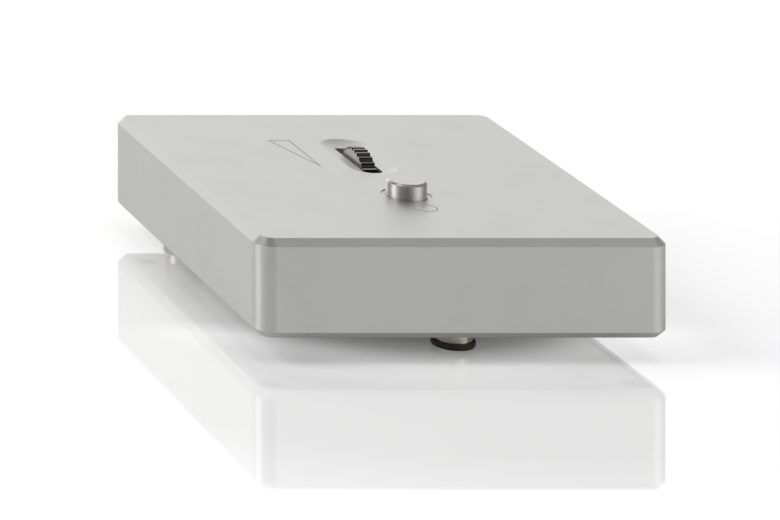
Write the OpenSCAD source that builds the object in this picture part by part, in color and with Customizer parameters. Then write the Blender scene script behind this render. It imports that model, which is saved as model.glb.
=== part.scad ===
// Desktop phono preamplifier in a milled aluminium case, on three feet.
// Millimetres. +X is the case's right, +Y its rear, +Z up.
// The origin is under the middle of everything, on the surface that the feet stand on.

/* [Case] */
// Width of the case
case_width = 80; // [78:1:100]
// Depth of the case, front face to rear edge
case_depth = 88.9; // [86:0.1:110]
// Height of the case without its feet
case_height = 19.3; // [19:0.1:24]
// Thickness of the side and front walls
side_wall = 2.5; // [1.8:0.1:2.8]
// Thickness of the top wall
top_wall = 2.6; // [2.2:0.1:2.8]
// Chamfer along the upper and lower edges
edge_chamfer = 1.38; // [0.8:0.02:1.7]
// Radius of the four upright corners
corner_radius = 3.6; // [2.6:0.1:4.5]
// Width of the four screw posts inside the corners
post_width = 4.8; // [4.6:0.1:5.2]
// Length of the screw posts, front to rear
post_length = 7; // [5.5:0.1:8]

/* [Base and rear] */
// Thickness of the base plate
base_thickness = 1.6; // [1.2:0.1:2]
// How far the base plate sits up inside the case
base_recess = 0.3; // [0.1:0.1:0.6]
// Thickness of the rear panel
panel_thickness = 2; // [1.5:0.1:2.5]
// How far the rear panel sits in from the rear edge
panel_recess = 0.4; // [0.2:0.1:0.8]
// Side wall left outside the rear panel
panel_cheek = 2.7; // [2.2:0.1:3]
// Gap around plates that drop into the case
plate_gap = 0.1; // [0.05:0.05:0.2]

/* [Feet] */
// Height of the feet below the case
foot_height = 5.1; // [4:0.1:8]
// Radius of the rubber pads
pad_radius = 4.2; // [3.9:0.05:5]
// Height of the rubber pads
pad_height = 1.3; // [1.2:0.1:2.4]
// Radius of the metal collars
collar_radius = 3.7; // [3.3:0.1:3.9]
// Front foot, to the right of the middle
front_foot_x = 2.5; // [-5:0.5:5]
// Front foot, back from the front face
front_foot_y = 12.5; // [11:0.5:16]
// Rear feet, in from the sides
rear_foot_inset = 11; // [9:0.1:14]
// Rear feet, forward from the rear edge
rear_foot_y = 12.6; // [12:0.1:16]

/* [Power button] */
// Power button, back from the front face
button_y = 29.8; // [26:0.1:34]
// Radius of the button
button_radius = 3.9; // [3.4:0.1:4.4]
// How far the button stands above the top
button_rise = 3; // [2.2:0.1:5]
// Chamfer around the button's top
button_chamfer = 0.42; // [0.2:0.02:0.7]
// Travel of the button
button_travel = 1.5; // [1:0.1:1.8]
// Gap around the button in its hole
button_gap = 0.1; // [0.05:0.05:0.3]
// Radius of the shallow seat around the button
button_seat_radius = 4.85; // [4.8:0.05:5.5]
// Depth of the shallow seat
button_seat_depth = 0.2; // [0.1:0.05:0.4]

/* [Volume wheel] */
// Wheel, to the right of the middle
wheel_x = 0.55; // [-3:0.05:2]
// Wheel axis, back from the front face
wheel_y = 56.8; // [52:0.1:60]
// Wheel axis, below the top surface
wheel_drop = 6.35; // [6.2:0.05:6.8]
// Radius of the wheel over its ribs
wheel_radius = 8; // [7.6:0.05:8.3]
// Width of the wheel
wheel_width = 2.8; // [2:0.1:3]
// Number of ribs on the rim
wheel_ribs = 34; // [28:1:36]
// Width of the slot around the wheel
slot_width = 3.8; // [3.6:0.1:4.6]
// Length of the slot
slot_length = 17.7; // [16.5:0.1:19]
// Width of the finger dish
dish_width = 9.6; // [8.4:0.1:11]
// Length of the finger dish
dish_length = 25; // [22:0.5:30]
// Depth of the finger dish
dish_depth = 1; // [0.4:0.05:1.2]

/* [Circuit board] */
// Thickness of the board
board_thickness = 1.6; // [1:0.1:1.8]
// Height of the spacers under the board
spacer_height = 2; // [1.9:0.1:2.3]
// Gap between the board and the corner posts
board_side_gap = 0.5; // [0.3:0.1:1]
// Board front edge, back from the front face
board_front = 4.5; // [3.5:0.1:7]
// Spacers, in from the sides of the board
spacer_inset = 6.2; // [4:0.2:10]
// Front spacers, back from the board's front edge
spacer_front_inset = 5.5; // [4:0.5:8]
// Rear spacers, in front of the socket blocks
spacer_rear_gap = 8.6; // [4:0.2:9]

/* [Sockets] */
// Gap between the input pair and the left corner post
input_side_gap = 1; // [0.2:0.1:1.5]
// Gap between the power inlet and the right corner post
inlet_side_gap = 0.7; // [0.2:0.1:1.2]
// Gap between the power inlet and the output pair
inlet_gap = 0.3; // [0.1:0.1:1]
// Socket axes below the top wall
jack_drop = 6.2; // [6:0.1:6.6]
// Radius of the plated shells
shell_radius = 4.15; // [4:0.01:4.3]
// How far the shells stand out from the rear edge
jack_reach = 9; // [9:0.1:12]
// Radius of the ground post's thread
ground_radius = 2; // [1.5:0.1:2.2]
// Radius of the power inlet's opening
inlet_radius = 2.9; // [2.7:0.1:3.2]
// Radius of the power inlet's pin
inlet_pin_radius = 1; // [0.8:0.05:1.25]

/* [Gain switch] */
// Gain switch, from the middle of the case
gain_x = 16; // [10:1:20]
// Gain switch, back from the front face
gain_y = 44; // [38:1:50]
// Travel of the gain slider
gain_travel = 2; // [1.5:0.1:2.4]

/* [Hidden] */

eps = 0.01;
// Places of the case along Y and Z
front_y = -(case_depth + jack_reach) / 2;
rear_y = front_y + case_depth;
case_bottom = foot_height;
case_top = foot_height + case_height;
ceiling = case_top - top_wall;
inner_x = case_width / 2 - side_wall;
inner_front = front_y + side_wall;
// Rear panel
panel_out = rear_y - panel_recess;
panel_in = panel_out - panel_thickness;
panel_half = case_width / 2 - panel_cheek;
// Base plate
base_under = case_bottom + base_recess;
base_top = base_under + base_thickness;
// Corner posts and their screws
post_x = inner_x - post_width / 2;
post_front_y = inner_front + post_length / 2;
post_rear_y = panel_in - post_length / 2;
case_screw_radius = 1.25;
case_screw_head = 2.3;
case_screw_reach = 4.5;
case_screw_key = 0.85;
case_screw_key_depth = 0.9;
countersink_gap = 0.1;
panel_screw_radius = 1;
panel_screw_head = 1.9;
panel_screw_reach = 4.5;
panel_screw_drop = 3.6;
panel_screw_z = ceiling - panel_screw_drop;
panel_screw_key = 0.75;
panel_screw_key_depth = 0.8;
tap_beyond = 0.5;
head_height = 1.2;
thread_gap = 0.05;
screw_clearance = 0.15;
// Circuit board
board_under = base_top + spacer_height;
board_top = board_under + board_thickness;
bay_edge = inner_x - post_width;
board_half = bay_edge - board_side_gap;
board_start = front_y + board_front;
board_end = panel_in - plate_gap;
block_depth = 10.5;
spacer_flats = 4.6;
spacer_x = board_half - spacer_inset;
spacer_front_y = board_start + spacer_front_inset;
spacer_rear_y = panel_in - block_depth - spacer_rear_gap;
spacer_places = [
  [-spacer_x, spacer_front_y],
  [spacer_x, spacer_front_y],
  [-spacer_x, spacer_rear_y],
  [spacer_x, spacer_rear_y]
];
board_screw_radius = 1.25;
board_screw_head = 2.2;
board_screw_short = 0.4;
board_screw_slot = 0.5;
board_screw_slot_length = 2.8;
board_screw_slot_depth = 0.6;
// Feet
rear_foot_x = case_width / 2 - rear_foot_inset;
front_foot = [front_foot_x, front_y + front_foot_y];
rear_left_foot = [-rear_foot_x, rear_y - rear_foot_y];
rear_right_foot = [rear_foot_x, rear_y - rear_foot_y];
foot_screw_radius = 1.25;
foot_screw_head = 2.2;
foot_screw_head_height = 1.3;
foot_screw_seat = 0.2;
foot_screw_key = 1.15;
foot_screw_key_depth = 0.8;
foot_screw_over = 0.8;
pad_bore = 2.7;
pad_rounding = 0.7;
// Button and its switch
button_place_y = front_y + button_y;
button_hole = button_radius + button_gap;
button_lip = 0.8;
button_lip_overlap = 0.5;
button_lip_drop = 0.3;
button_lip_radius = button_hole + button_lip_overlap;
button_lip_top = ceiling - button_lip_drop;
button_under = button_lip_top - button_lip;
plunger_radius = 1.5;
plunger_gap = 0.05;
plunger_grip = 3.6;
plunger_top = button_under + plunger_grip;
switch_size = 8;
switch_bore_gap = 0.3;
switch_drop = 5.4;
switch_top = ceiling - switch_drop;
plunger_depth = 2;
spring_radius = 2.5;
spring_wire = 0.22;
spring_turns = 4;
spring_end_gap = 0.05;
// Wheel and potentiometer
wheel_axis_y = front_y + wheel_y;
wheel_axis_z = case_top - wheel_drop;
wheel_left = wheel_x - wheel_width / 2;
wheel_right = wheel_x + wheel_width / 2;
// the wheel stands nearer the slot's right side
slot_offset = 0.15;
slot_x = wheel_x - slot_offset;
slot_corner = 0.8;
board_slot_gap = 0.6;
board_slot_length = 2 * (wheel_radius + board_slot_gap);
rib_groove = 0.62;
rib_groove_out = 0.12;
rim_thickness = 2.8;
hub_radius = 2.8;
wheel_recess = 0.5;
spindle_radius = 1.5;
spindle_gap = 0.05;
spindle_press_gap = 0.02;
spindle_flat = 1;
spindle_flat_end = 0.6;
spindle_inset = 0.2;
spindle_back = 1;
bushing_radius = 2.5;
bushing_length = 1.4;
pot_gap = 3.1;
pot_left = wheel_right + pot_gap + bushing_length;
pot_thickness = 5;
pot_radius = 4;
pot_clearance = 0.4;
relief_side = 0.6;
relief_end = 0.8;
// Sockets
jack_z = ceiling - jack_drop;
collar_out = 0.85;
jack_collar_radius = shell_radius + collar_out;
collar_reach = 1;
collar_end = panel_out + collar_reach;
jack_hole = jack_collar_radius + 0.1;
shell_wall = 0.75;
shell_shoulder = 0.2;
core_gap = 0.05;
contact_outer = 2;
contact_bore = 1.6;
contact_setback = 0.2;
core_setback = 1.3;
jack_foot = 0.8;
jack_pitch = 0.15 * case_width;
block_width = 0.2825 * case_width;
block_rise = 5.3;
block_top = jack_z + block_rise;
block_step = 2;
block_step_drop = 2.5;
jack_tip = rear_y + jack_reach;
shell_start = panel_in + jack_foot;
shell_length = jack_tip - shell_start;
shell_lead = 0.35;
input_x = -(bay_edge - input_side_gap - block_width / 2);
inlet_width = 0.11 * case_width;
inlet_x = bay_edge - inlet_side_gap - inlet_width / 2;
output_x = inlet_x - inlet_width / 2 - inlet_gap - block_width / 2;
input_left_x = input_x - jack_pitch / 2;
input_right_x = input_x + jack_pitch / 2;
output_left_x = output_x - jack_pitch / 2;
output_right_x = output_x + jack_pitch / 2;
// Power inlet
inlet_drop = 5.8;
inlet_z = ceiling - inlet_drop;
inlet_cover = 4.7;
inlet_top = inlet_z + inlet_cover;
inlet_depth = 13.5;
inlet_bore_depth = 10;
inlet_rim = 0.8;
inlet_hole = inlet_radius + inlet_rim;
inlet_pin_setback = 0.6;
// Ground post, midway between the input and output blocks
ground_x = (input_x + output_x) / 2;
ground_flange = collar_reach;
ground_flange_wall = 1.4;
ground_flange_radius = ground_radius + ground_flange_wall;
ground_washer_wall = 1.6;
ground_washer_radius = ground_radius + ground_washer_wall;
ground_washer_thickness = 0.8;
ground_nut_length = 4;
ground_nut_wall = 1.9;
ground_nut_radius = ground_radius + ground_nut_wall;
knurl_radius = 0.32;
knurl_out = 0.1;
knurl_start = 0.6;
ground_tip_setback = 0.4;
ground_tip = jack_tip - ground_tip_setback;
ground_inner_nut = 2.4;
ground_inner_nut_wall = 1.3;
ground_inner_nut_radius = ground_radius + ground_inner_nut_wall;
ground_inner_end = 1.2;
ground_gap = 0.05;
washer_gap = 0.1;
washer_start = panel_out + ground_flange;
thumb_nut_start = washer_start + ground_washer_thickness;
// Gain switch, hung under the board over a slot in the base plate
gain_place_y = front_y + gain_y;
gain_carriage = 2.4;
gain_carriage_width = 2;
gain_carriage_thickness = 0.7;
gain_end_wall = 1.6;
gain_body_length = gain_carriage + gain_travel + 2 * gain_end_wall;
gain_body_width = 4;
gain_body_height = 1.8;
gain_knob = 1.4;
gain_knob_width = 1.2;
gain_side_gap = 0.15;
gain_slot_gap = 0.5;
gain_floor = 0.4;
gain_lift = 0.1;
gain_track_z = board_under - gain_body_height;
gain_carriage_z = gain_track_z + gain_floor + gain_lift;
gain_knob_setback = 0.4;
gain_tip = base_under + gain_knob_setback;
gain_rest_x = gain_x - gain_travel / 2;
// Parts on the board: sizes
chip_width = 5;
chip_length = 4;
chip_height = 1.6;
film_width = 2.8;
film_length = 7.2;
film_height = 6.4;
resistor_radius = 0.85;
resistor_length = 3.4;
coupler_radius = 2.5;
coupler_height = 7;
reservoir_radius = 3.15;
reservoir_height = 8;
relay_width = 7.4;
relay_length = 9;
relay_height = 5.2;
regulator_width = 6.5;
regulator_length = 6.1;
regulator_height = 2.3;
tab_width = 5.3;
tab_length = 2.4;
tab_height = 0.6;
// Parts on the board: places, out from the middle and back from the front face
chip_x = 0.1625 * case_width;
chip_rows = [0.2 * case_depth, 0.335 * case_depth, 0.47 * case_depth];
film_columns = [0.25 * case_width, 0.306 * case_width];
film_rows = [0.25 * case_depth, 0.385 * case_depth];
resistor_columns = [0.231 * case_width, 0.275 * case_width, 0.319 * case_width, 0.3625 * case_width];
resistor_rows = [0.48 * case_depth, 0.545 * case_depth];
coupler_x = 0.0875 * case_width;
coupler_rows = [0.225 * case_depth, 0.47 * case_depth];
reservoir_columns = [-0.3375 * case_width, -0.2375 * case_width, -0.1375 * case_width];
reservoir_y = 0.64 * case_depth;
relay_x = 0.23 * case_width;
relay_y = 0.65 * case_depth;
regulator_x = 0.34 * case_width;
regulator_y = 0.63 * case_depth;

// A flat rectangle with rounded corners, centred
module rounded_rectangle(width, length, radius) {
  square([width - 2 * radius, length], center = true);
  square([width, length - 2 * radius], center = true);
  for (sx = [-1, 1], sy = [-1, 1])
    translate([sx * (width / 2 - radius), sy * (length / 2 - radius)])
      circle(r = radius, $fn = 48);
}

// An upright block with rounded corners and a chamfer above and below, centred in X and Y
module chamfered_block(width, length, height, radius, chamfer) {
  module edge_profile(span) {
    polygon([
      [-span / 2 + chamfer, 0],
      [span / 2 - chamfer, 0],
      [span / 2, chamfer],
      [span / 2, height - chamfer],
      [span / 2 - chamfer, height],
      [-span / 2 + chamfer, height],
      [-span / 2, height - chamfer],
      [-span / 2, chamfer]
    ]);
  }
  rotate([90, 0, 90])
    linear_extrude(height = width - 2 * radius, center = true)
      edge_profile(length);
  rotate([90, 0, 0])
    linear_extrude(height = length - 2 * radius, center = true)
      edge_profile(width);
  for (sx = [-1, 1], sy = [-1, 1])
    translate([sx * (width / 2 - radius), sy * (length / 2 - radius), 0])
      rotate_extrude($fn = 96)
        polygon([
          [0, 0],
          [radius - chamfer, 0],
          [radius, chamfer],
          [radius, height - chamfer],
          [radius - chamfer, height],
          [0, height]
        ]);
}

// The path of a domed cutter that is run along Y: a hollow with rounded ends
module cutter_path(width, length, depth, height) {
  radius = width / 2;
  run = length - width;
  dome = (pow(radius, 2) + pow(depth, 2)) / (2 * depth);
  module cutter_half() {
    intersection() {
      translate([0, dome - depth])
        circle(r = dome, $fn = 360);
      translate([0, -depth - 1])
        square([radius, depth + 1 + eps]);
    }
    translate([0, eps / 2])
      square([radius, height]);
  }
  for (s = [-1, 1])
    translate([0, s * run / 2, 0])
      rotate_extrude($fn = 96)
        cutter_half();
  rotate([90, 0, 0])
    linear_extrude(height = run, center = true) {
      cutter_half();
      mirror([1, 0]) cutter_half();
    }
}

// A tube along Y from y0 to y1
module tube_y(outer, inner, y0, y1) {
  translate([0, y0, 0])
    rotate([-90, 0, 0])
      difference() {
        cylinder(r = outer, h = y1 - y0, $fn = 72);
        translate([0, 0, -1])
          cylinder(r = inner, h = y1 - y0 + 2, $fn = 72);
      }
}

// A rod along Y from y0 to y1
module rod_y(radius, y0, y1) {
  translate([0, y0, 0])
    rotate([-90, 0, 0])
      cylinder(r = radius, h = y1 - y0, $fn = 72);
}

// A rod along X from x0 to x1
module rod_x(radius, x0, x1) {
  translate([x0, 0, 0])
    rotate([0, 90, 0])
      cylinder(r = radius, h = x1 - x0, $fn = 72);
}

// A block given by its middle in X, its two ends in Y and its bottom and top in Z
module block(mid_x, width, y0, y1, z0, z1) {
  translate([mid_x - width / 2, y0, z0])
    cube([width, y1 - y0, z1 - z0]);
}

// A small box that stands on the board
module on_board(x, y, size_x, size_y, height) {
  translate([x - size_x / 2, front_y + y - size_y / 2, board_top])
    cube([size_x, size_y, height]);
}

// Where the four case screws go
module at_posts() {
  for (sx = [-1, 1], y = [post_front_y, post_rear_y])
    translate([sx * post_x, y, 0])
      children();
}

// Milled from one block: top, front and side walls, open below and behind,
// with a screw post in each corner and the dish, slot and button hole in its top.
module case_housing() {
  color("silver")
    difference() {
      translate([0, (front_y + rear_y) / 2, case_bottom])
        chamfered_block(case_width, case_depth, case_height, corner_radius, edge_chamfer);
      // room inside, left standing at the four posts
      difference() {
        block(0, 2 * inner_x, inner_front, panel_in, case_bottom - 1, ceiling);
        for (sx = [-1, 1]) {
          block(sx * (post_x + 0.5), post_width + 1,
            inner_front - 1, inner_front + post_length, base_top, ceiling + 1);
          block(sx * (post_x + 0.5), post_width + 1,
            panel_in - post_length, panel_in + 1, base_top, ceiling + 1);
        }
      }
      // seat of the rear panel
      block(0, 2 * panel_half, panel_in, rear_y + 1, case_bottom - 1, ceiling);
      // tapped holes for the base and rear panel screws
      at_posts()
        translate([0, 0, base_top - eps])
          cylinder(r = case_screw_radius + thread_gap, h = case_screw_reach + tap_beyond, $fn = 32);
      for (sx = [-1, 1])
        translate([sx * post_x, 0, panel_screw_z])
          rod_y(panel_screw_radius + thread_gap, panel_in - panel_screw_reach - tap_beyond,
            panel_in + eps);
      // button hole and its shallow seat
      translate([0, button_place_y, ceiling - 1])
        cylinder(r = button_hole, h = top_wall + 2, $fn = 72);
      translate([0, button_place_y, case_top - button_seat_depth])
        cylinder(r = button_seat_radius, h = 1, $fn = 96);
      // finger dish and wheel slot
      translate([slot_x, wheel_axis_y, case_top])
        cutter_path(dish_width, dish_length, dish_depth, 1);
      translate([slot_x, wheel_axis_y, ceiling - 1])
        linear_extrude(height = top_wall + 2)
          rounded_rectangle(slot_width, slot_length, slot_corner);
      // relief over the potentiometer
      block(pot_left + pot_thickness / 2, pot_thickness + 2 * relief_side,
        wheel_axis_y - pot_radius - relief_end, wheel_axis_y + pot_radius + relief_end,
        ceiling - 1, wheel_axis_z + pot_radius + pot_clearance);
    }
}

// Flat plate screwed up into the corner posts
module base_plate() {
  color("gainsboro")
    difference() {
      block(0, 2 * (inner_x - plate_gap), inner_front + plate_gap, panel_in - plate_gap,
        base_under, base_top);
      at_posts()
        union() {
          translate([0, 0, base_under - 1])
            cylinder(r = case_screw_radius + screw_clearance, h = base_thickness + 2, $fn = 32);
          translate([0, 0, base_under - eps])
            cylinder(r1 = case_screw_head + countersink_gap,
              r2 = case_screw_radius + countersink_gap, h = head_height, $fn = 48);
        }
      for (p = [front_foot, rear_left_foot, rear_right_foot])
        translate([p[0], p[1], base_under - 1])
          cylinder(r = foot_screw_radius + thread_gap, h = base_thickness + 2, $fn = 32);
      for (p = spacer_places)
        translate([p[0], p[1], base_under - 1])
          cylinder(r = board_screw_radius + thread_gap, h = base_thickness + 2, $fn = 32);
      block(gain_x, gain_knob + gain_travel + 2 * gain_slot_gap, gain_place_y - gain_knob_width,
        gain_place_y + gain_knob_width, base_under - 1, base_top + 1);
    }
}

// Plate across the back with a hole for every socket
module rear_panel() {
  color("lightgray")
    difference() {
      block(0, 2 * (panel_half - plate_gap), panel_in, panel_out, base_under, ceiling - plate_gap);
      for (x = [input_left_x, input_right_x, output_left_x, output_right_x])
        translate([x, 0, jack_z])
          rod_y(jack_hole, panel_in - 1, panel_out + 1);
      translate([inlet_x, 0, inlet_z])
        rod_y(inlet_hole, panel_in - 1, panel_out + 1);
      translate([ground_x, 0, jack_z])
        rod_y(ground_radius + 0.1, panel_in - 1, panel_out + 1);
      for (sx = [-1, 1])
        translate([sx * post_x, 0, panel_screw_z])
          rod_y(panel_screw_radius + screw_clearance, panel_in - 1, panel_out + 1);
    }
}

// Four countersunk screws with a hexagon socket
module base_screws() {
  color("dimgray")
    at_posts()
      difference() {
        union() {
          translate([0, 0, base_under])
            cylinder(r1 = case_screw_head, r2 = case_screw_radius, h = head_height, $fn = 48);
          translate([0, 0, base_under + head_height - eps])
            cylinder(r = case_screw_radius, h = base_thickness - head_height + case_screw_reach,
              $fn = 32);
        }
        translate([0, 0, base_under - 1])
          cylinder(r = case_screw_key, h = case_screw_key_depth + 1, $fn = 6);
      }
}

// Two pan-head screws that hold the rear panel
module rear_panel_screws() {
  color("dimgray")
    for (sx = [-1, 1])
      translate([sx * post_x, 0, panel_screw_z])
        difference() {
          union() {
            rod_y(panel_screw_radius, panel_in - panel_screw_reach, panel_out + eps);
            rod_y(panel_screw_head, panel_out, panel_out + head_height);
          }
          translate([0, panel_out + head_height - panel_screw_key_depth, 0])
            rotate([-90, 0, 0])
              cylinder(r = panel_screw_key, h = panel_screw_key_depth + 1, $fn = 6);
        }
}

// Turned metal collar of a foot, counterbored from below for its screw
module foot_collar(place) {
  color("silver")
    translate([place[0], place[1], 0])
      difference() {
        translate([0, 0, pad_height])
          cylinder(r = collar_radius, h = base_under - pad_height, $fn = 72);
        translate([0, 0, -1])
          cylinder(r = foot_screw_radius + screw_clearance, h = base_under + 2, $fn = 32);
        translate([0, 0, -1])
          cylinder(r = foot_screw_head + screw_clearance,
            h = pad_height + foot_screw_seat + foot_screw_head_height + 1, $fn = 48);
      }
}

// Rubber ring that the case stands on
module foot_pad(place) {
  color("darkslategray")
    translate([place[0], place[1], 0])
      rotate_extrude($fn = 96)
        difference() {
          translate([pad_bore, 0])
            square([pad_radius - pad_bore, pad_height]);
          difference() {
            translate([pad_radius - pad_rounding, -eps])
              square([pad_rounding + 1, pad_rounding + eps]);
            translate([pad_radius - pad_rounding, pad_rounding])
              circle(r = pad_rounding, $fn = 48);
          }
        }
}

module front_foot_collar() foot_collar(front_foot);
module rear_left_foot_collar() foot_collar(rear_left_foot);
module rear_right_foot_collar() foot_collar(rear_right_foot);
module front_foot_pad() foot_pad(front_foot);
module rear_left_foot_pad() foot_pad(rear_left_foot);
module rear_right_foot_pad() foot_pad(rear_right_foot);

// Three cap screws, up through the collars into the base plate
module foot_screws() {
  color("dimgray")
    for (p = [front_foot, rear_left_foot, rear_right_foot])
      translate([p[0], p[1], pad_height + foot_screw_seat])
        difference() {
          union() {
            cylinder(r = foot_screw_head, h = foot_screw_head_height - eps, $fn = 48);
            cylinder(r = foot_screw_radius, h = base_top + foot_screw_over - pad_height, $fn = 32);
          }
          translate([0, 0, -1])
            cylinder(r = foot_screw_key, h = foot_screw_key_depth + 1, $fn = 6);
        }
}

// Glass-fibre board that carries everything electrical
module circuit_board() {
  color("darkgreen")
    difference() {
      block(0, 2 * board_half, board_start, board_end, board_under, board_top);
      for (p = spacer_places)
        translate([p[0], p[1], board_under - 1])
          cylinder(r = board_screw_radius + screw_clearance, h = board_thickness + 2, $fn = 32);
      // cut out under the wheel
      block(slot_x, slot_width, wheel_axis_y - board_slot_length / 2,
        wheel_axis_y + board_slot_length / 2, board_under - 1, board_top + 1);
    }
}

// Four hexagonal spacers between the base plate and the board
module board_spacers() {
  color("goldenrod")
    for (p = spacer_places)
      translate([p[0], p[1], base_top])
        difference() {
          cylinder(d = spacer_flats / cos(30), h = spacer_height, $fn = 6);
          translate([0, 0, -1])
            cylinder(r = board_screw_radius + thread_gap, h = spacer_height + 2, $fn = 32);
        }
}

// Four pan-head screws, down through the board and spacers into the base plate
module board_screws() {
  color("silver")
    for (p = spacer_places)
      translate([p[0], p[1], 0])
        difference() {
          union() {
            translate([0, 0, base_under + board_screw_short])
              cylinder(r = board_screw_radius,
                h = board_top - base_under - board_screw_short + eps, $fn = 32);
            translate([0, 0, board_top])
              cylinder(r = board_screw_head, h = head_height, $fn = 48);
          }
          for (turn = [0, 90])
            translate([0, 0, board_top + head_height - board_screw_slot_depth])
              rotate([0, 0, turn])
                translate([-board_screw_slot_length / 2, -board_screw_slot / 2, 0])
                  cube([board_screw_slot_length, board_screw_slot, 1]);
        }
}

// Turned aluminium button with a lip that keeps it in the case
module power_button() {
  color("silver")
    translate([0, button_place_y, 0])
      difference() {
        rotate_extrude($fn = 96)
          polygon([
            [0, button_under],
            [button_lip_radius, button_under],
            [button_lip_radius, button_lip_top],
            [button_radius, button_lip_top],
            [button_radius, case_top + button_rise - button_chamfer],
            [button_radius - button_chamfer, case_top + button_rise],
            [0, case_top + button_rise]
          ]);
        translate([0, 0, button_under - 1])
          cylinder(r = plunger_radius + plunger_gap, h = plunger_top - button_under + 1.1, $fn = 48);
      }
}

// Stem between the button and the switch
module button_plunger() {
  color("white")
    translate([0, button_place_y, switch_top - plunger_depth])
      cylinder(r = plunger_radius, h = plunger_top - switch_top + plunger_depth, $fn = 48);
}

// Coil that lifts the button, between the switch and the button's lip.
// Its level section is the slice of a round wire that climbs one pitch a turn.
module button_spring() {
  spring_height = button_under - switch_top - 2 * spring_end_gap;
  pitch = spring_height / (spring_turns + 0.5);
  half_angle = 360 * spring_wire / pitch;
  steps = 5;
  function wire_edge(side, i) =
    let (
      a = half_angle * i / steps,
      r = spring_radius + side * spring_wire * sqrt(1 - pow(i / steps, 2))
    )
    [r * cos(a), r * sin(a)];
  color("gray")
    translate([0, button_place_y, switch_top + spring_end_gap])
      linear_extrude(height = spring_height, twist = -360 * spring_height / pitch,
        slices = 12 * spring_turns)
        polygon(concat(
          [for (i = [-steps : steps]) wire_edge(1, i)],
          [for (i = [steps - 1 : -1 : 1 - steps]) wire_edge(-1, i)]
        ));
}

// Latching push switch on the board
module power_switch_body() {
  color("dimgray")
    difference() {
      block(0, switch_size, button_place_y - switch_size / 2, button_place_y + switch_size / 2,
        board_top, switch_top);
      translate([0, button_place_y,
        switch_top - plunger_depth - button_travel - switch_bore_gap])
        cylinder(r = plunger_radius + switch_bore_gap,
          h = plunger_depth + button_travel + switch_bore_gap + eps, $fn = 48);
    }
}

// Turned wheel with ribs across its rim, pressed on the spindle's flat
module volume_wheel() {
  color("silver")
    translate([0, wheel_axis_y, wheel_axis_z])
      difference() {
        rod_x(wheel_radius, wheel_left, wheel_right);
        // grooves that leave the ribs standing
        for (i = [0 : wheel_ribs - 1])
          rotate([(i + 0.5) * 360 / wheel_ribs, 0, 0])
            translate([wheel_left - 1, wheel_radius + rib_groove_out, 0])
              rotate([0, 90, 0])
                cylinder(r = rib_groove, h = wheel_width + 2, $fn = 24);
        // shallow recess in each side, inside the rim
        for (x = [wheel_left - 1, wheel_right - wheel_recess])
          difference() {
            rod_x(wheel_radius - rim_thickness, x, x + wheel_recess + 1);
            rod_x(hub_radius, x - 1, x + wheel_recess + 2);
          }
        difference() {
          rod_x(spindle_radius + spindle_press_gap, wheel_left - eps, wheel_right + eps);
          block(wheel_x, wheel_width + 4 * eps, -2 * spindle_radius, 2 * spindle_radius,
            spindle_flat + spindle_press_gap, 2 * spindle_radius);
        }
      }
}

// Steel spindle with a flat where it holds the wheel
module volume_spindle() {
  color("gray")
    translate([0, wheel_axis_y, wheel_axis_z])
      difference() {
        rod_x(spindle_radius, wheel_left + spindle_inset, pot_left + pot_thickness - spindle_back);
        // flat, as long as the wheel is wide and a little more
        block(wheel_x, wheel_width + 2 * spindle_flat_end, -2 * spindle_radius, 2 * spindle_radius,
          spindle_flat, 2 * spindle_radius);
      }
}

// Plain metal bushing around the spindle, on the potentiometer's face
module volume_bushing() {
  color("darkgray")
    translate([0, wheel_axis_y, wheel_axis_z])
      difference() {
        rod_x(bushing_radius, pot_left - bushing_length, pot_left);
        rod_x(spindle_radius + spindle_gap, pot_left - bushing_length - 1, pot_left + 1);
      }
}

// Potentiometer body, standing on the board beside the wheel
module volume_potentiometer() {
  color("steelblue")
    difference() {
      union() {
        block(pot_left + pot_thickness / 2, pot_thickness,
          wheel_axis_y - pot_radius, wheel_axis_y + pot_radius, board_top, wheel_axis_z);
        translate([0, wheel_axis_y, wheel_axis_z])
          rod_x(pot_radius, pot_left, pot_left + pot_thickness);
      }
      translate([0, wheel_axis_y, wheel_axis_z])
        rod_x(spindle_radius + spindle_gap, pot_left - 1,
          pot_left + pot_thickness - spindle_back + spindle_gap);
    }
}

// Moulded block behind a pair of sockets
module jack_block(mid_x) {
  color("dimgray")
    difference() {
      block(mid_x, block_width, panel_in - block_depth, panel_in, board_top, block_top);
      // stepped down at the front
      block(mid_x, block_width + 2, panel_in - block_depth - 1,
        panel_in - block_depth + block_step, block_top - block_step_drop, block_top + 1);
    }
}

module input_jack_block() jack_block(input_x);
module output_jack_block() jack_block(output_x);

// Coloured plastic of a socket: a foot on the block, a collar outside the shell
// and a core inside it that holds the centre contact
module jack_insulator(x, shade) {
  color(shade)
    translate([x, 0, jack_z]) {
      tube_y(jack_collar_radius, contact_bore, panel_in, shell_start);
      tube_y(jack_collar_radius, shell_radius + shell_shoulder + core_gap, shell_start - eps,
        collar_end);
      tube_y(shell_radius - shell_wall - core_gap, contact_outer + core_gap,
        shell_start - eps, jack_tip - core_setback);
    }
}

module input_left_insulator() jack_insulator(input_left_x, "white");
module input_right_insulator() jack_insulator(input_right_x, "red");
module output_left_insulator() jack_insulator(output_left_x, "white");
module output_right_insulator() jack_insulator(output_right_x, "red");

// Plated outer contact of a socket, with a shoulder inside the collar
module jack_shell(x) {
  color("gold")
    translate([x, shell_start, jack_z])
      rotate([-90, 0, 0])
        rotate_extrude($fn = 96)
          polygon([
            [shell_radius - shell_wall, 0],
            [shell_radius + shell_shoulder, 0],
            [shell_radius + shell_shoulder, collar_end - shell_start],
            [shell_radius, collar_end - shell_start],
            [shell_radius, shell_length - shell_lead],
            [shell_radius - shell_lead, shell_length],
            [shell_radius - shell_wall, shell_length]
          ]);
}

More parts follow.
